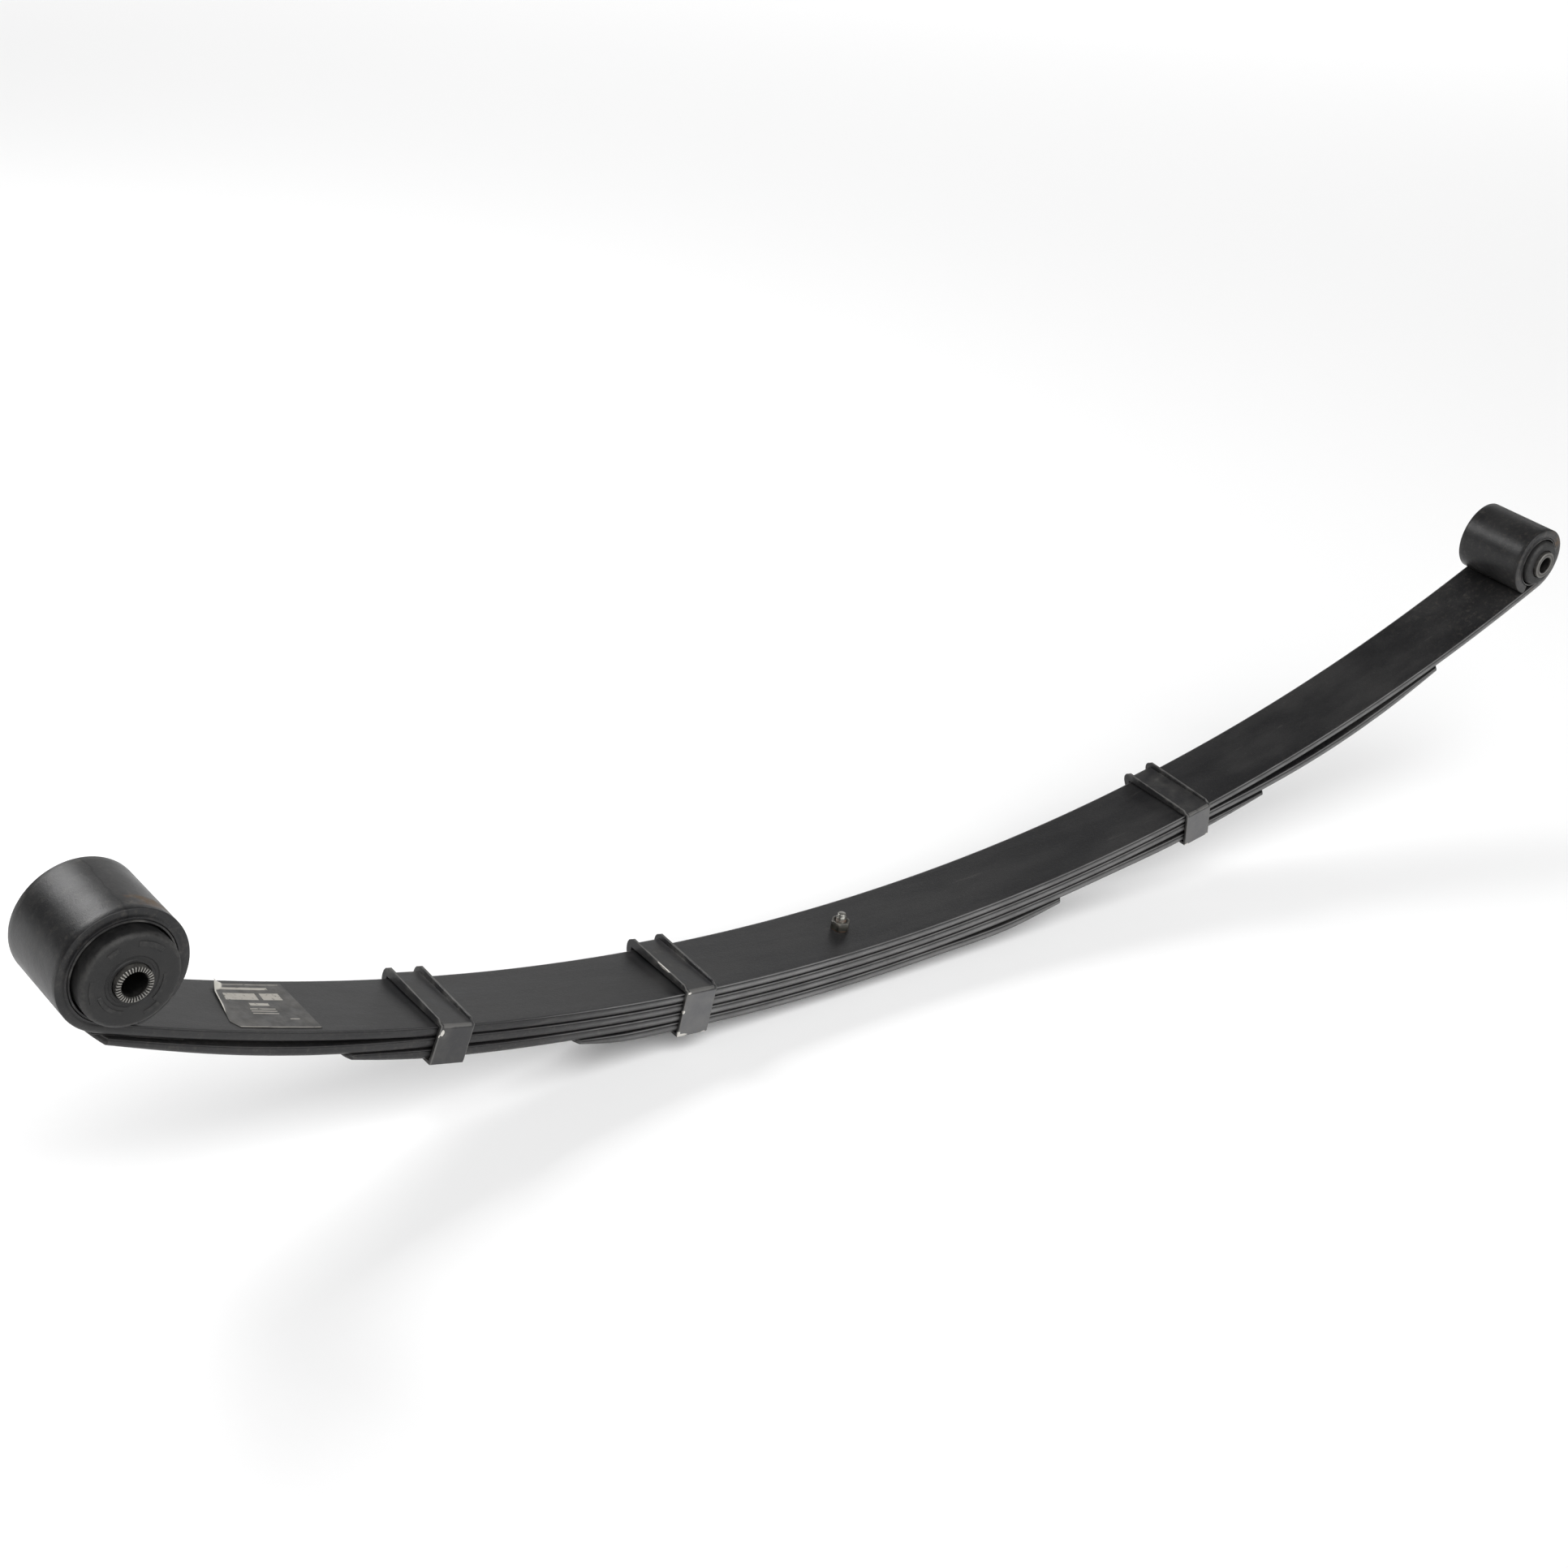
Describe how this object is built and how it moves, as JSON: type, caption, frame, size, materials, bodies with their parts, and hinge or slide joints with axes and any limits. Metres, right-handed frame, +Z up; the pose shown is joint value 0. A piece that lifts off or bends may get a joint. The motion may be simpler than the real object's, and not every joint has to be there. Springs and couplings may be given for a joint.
{
  "type": "leaf spring",
  "caption": "Semi-elliptic leaf spring for an axle, tapered leaves under a main leaf with rolled eyes, rebound clips, a centre bolt and rubber eye bushes.",
  "frame": {"origin": "the foot of the centre bolt's head, on the bolt's axis, where the head sits in the axle pad's locating hole", "axes": "+X runs along the spring to the rear (small) eye, +Y across the leaves, +Z up, on the side where the eyes stand"},
  "size_m": [1.4072, 0.0936, 0.2676],
  "materials": {
    "leaf_paint": "satin black paint",
    "clip_paint": "worn satin black paint",
    "plated_steel": "dull zinc plate",
    "sleeve_steel": "bare steel",
    "bush_rubber": "matt black rubber",
    "liner_plastic": "matt black",
    "label_film": "dark film"
  },
  "bodies": {
    "seat": {"main_leaf_middle": "leaf_paint", "second_leaf_middle": "leaf_paint", "third_leaf_middle": "leaf_paint", "fourth_leaf_middle": "leaf_paint", "centre_bolt": "plated_steel", "centre_nut": "plated_steel"},
    "main_front_arm": {"main_leaf_front": "leaf_paint", "front_bush_shell": "clip_paint", "front_bush_rubber": "bush_rubber", "label": "label_film"},
    "second_front_arm": {"second_leaf_front": "leaf_paint", "second_leaf_front_liner": "liner_plastic"},
    "third_front_arm": {"third_leaf_front": "leaf_paint", "front_outer_clip": "clip_paint", "front_outer_clip_rivet": "clip_paint"},
    "fourth_front_arm": {"fourth_leaf_front": "leaf_paint", "front_inner_clip": "clip_paint", "front_inner_clip_rivet": "clip_paint"},
    "main_rear_arm": {"main_leaf_rear": "leaf_paint", "rear_bush_shell": "clip_paint", "rear_bush_rubber": "bush_rubber"},
    "second_rear_arm": {"second_leaf_rear": "leaf_paint", "second_leaf_rear_liner": "liner_plastic"},
    "third_rear_arm": {"third_leaf_rear": "leaf_paint", "third_leaf_rear_liner": "liner_plastic", "rear_clip": "clip_paint", "rear_clip_rivet": "clip_paint"},
    "fourth_rear_arm": {"fourth_leaf_rear": "leaf_paint"},
    "front_sleeve": {"front_bush_sleeve": "sleeve_steel"},
    "rear_sleeve": {"rear_bush_sleeve": "sleeve_steel"}
  },
  "joints": [
    {"name": "front_flex", "type": "hinge", "parent": "seat", "child": "main_front_arm", "pos_m": [-0.11016, 0, 0.03908], "axis": [0, -1, 0], "range_deg": [-2, 16], "stiffness_Nm_per_rad": 5300},
    {"name": "second_front_flex", "type": "hinge", "parent": "seat", "child": "second_front_arm", "pos_m": [-0.11069, 0, 0.0313], "axis": [0, -1, 0], "range_deg": [-2, 16]},
    {"name": "third_front_flex", "type": "hinge", "parent": "seat", "child": "third_front_arm", "pos_m": [-0.11122, 0, 0.02352], "axis": [0, -1, 0], "range_deg": [-2, 16]},
    {"name": "fourth_front_flex", "type": "hinge", "parent": "seat", "child": "fourth_front_arm", "pos_m": [-0.11175, 0, 0.01573], "axis": [0, -1, 0], "range_deg": [-2, 16]},
    {"name": "front_bush_twist", "type": "hinge", "parent": "main_front_arm", "child": "front_sleeve", "pos_m": [-0.5915, 0, 0.18704], "axis": [0, 1, 0], "range_deg": [-20, 20], "stiffness_Nm_per_rad": 90},
    {"name": "rear_flex", "type": "hinge", "parent": "seat", "child": "main_rear_arm", "pos_m": [0.15013, 0, 0.04202], "axis": [0, 1, 0], "range_deg": [-2, 16], "stiffness_Nm_per_rad": 3900},
    {"name": "second_rear_flex", "type": "hinge", "parent": "seat", "child": "second_rear_arm", "pos_m": [0.15082, 0, 0.03425], "axis": [0, 1, 0], "range_deg": [-2, 16]},
    {"name": "third_rear_flex", "type": "hinge", "parent": "seat", "child": "third_rear_arm", "pos_m": [0.15151, 0, 0.02648], "axis": [0, 1, 0], "range_deg": [-2, 16]},
    {"name": "fourth_rear_flex", "type": "hinge", "parent": "seat", "child": "fourth_rear_arm", "pos_m": [0.15237, 0, 0.01679], "axis": [0, 1, 0], "range_deg": [-2, 16]},
    {"name": "rear_bush_twist", "type": "hinge", "parent": "main_rear_arm", "child": "rear_sleeve", "pos_m": [0.74412, 0, 0.2373], "axis": [0, 1, 0], "range_deg": [-25, 25], "stiffness_Nm_per_rad": 45}
  ],
  "couplings": [
    {"joint": "second_front_flex", "follows": "front_flex", "ratio": 1},
    {"joint": "third_front_flex", "follows": "front_flex", "ratio": 1},
    {"joint": "fourth_front_flex", "follows": "front_flex", "ratio": 1},
    {"joint": "second_rear_flex", "follows": "rear_flex", "ratio": 1},
    {"joint": "third_rear_flex", "follows": "rear_flex", "ratio": 1},
    {"joint": "fourth_rear_flex", "follows": "rear_flex", "ratio": 1}
  ]
}
